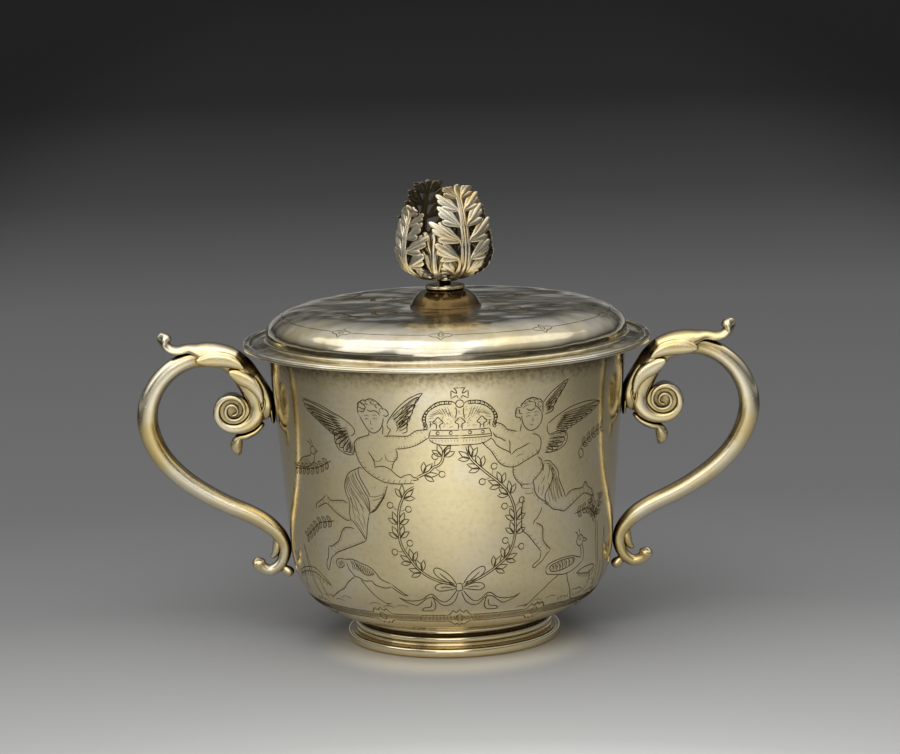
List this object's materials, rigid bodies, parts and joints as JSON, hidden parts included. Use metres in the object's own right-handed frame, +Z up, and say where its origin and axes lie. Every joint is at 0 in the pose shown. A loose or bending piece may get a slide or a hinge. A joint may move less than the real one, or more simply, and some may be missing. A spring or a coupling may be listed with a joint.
{
  "type": "covered caudle cup",
  "caption": "Silver-gilt covered caudle cup with scroll handles, moulded foot, engraved bowl and a lift-off domed cover with acanthus finial.",
  "frame": {"origin": "middle of the foot's flat underside, on the table", "axes": "+Z up along the cup's axis, +X towards one handle, -Y the engraved front"},
  "size_m": [0.24, 0.1566, 0.1775],
  "materials": {
    "engraved_gilt": "raised, planished and engraved silver with thin, worn gilding",
    "plain_gilt": "drawn and turned silver with thin gilding",
    "cast_gilt": "cast and chased silver with warm gilding, dark in the recesses"
  },
  "bodies": {
    "cup": {"bowl": "engraved_gilt", "foot_moulding": "plain_gilt", "foot_base_ring": "plain_gilt", "handle_scroll_right": "cast_gilt", "handle_scroll_left": "cast_gilt", "handle_leaf_right": "cast_gilt", "handle_leaf_left": "cast_gilt", "volute_drop_right": "cast_gilt", "volute_drop_left": "cast_gilt", "curl_leaf_right": "cast_gilt", "curl_leaf_left": "cast_gilt", "handle_bud_right": "cast_gilt", "handle_bud_left": "cast_gilt"},
    "lid": {"cover": "engraved_gilt", "cover_rim_wire": "plain_gilt", "cover_bezel": "plain_gilt", "finial_boss": "plain_gilt", "finial_collar": "plain_gilt", "finial_stem": "cast_gilt", "finial_washer": "plain_gilt", "finial_nut": "plain_gilt", "finial_leaf_1": "cast_gilt", "finial_leaf_2": "cast_gilt", "finial_leaf_3": "cast_gilt", "finial_leaf_4": "cast_gilt", "finial_leaflet_1": "cast_gilt", "finial_leaflet_2": "cast_gilt", "finial_leaflet_3": "cast_gilt", "finial_leaflet_4": "cast_gilt"}
  },
  "joints": [
    {"name": "cover_lift", "type": "slide", "parent": "cup", "child": "lid", "axis": [0, 0, 1], "range_m": [0, 0.12]}
  ]
}
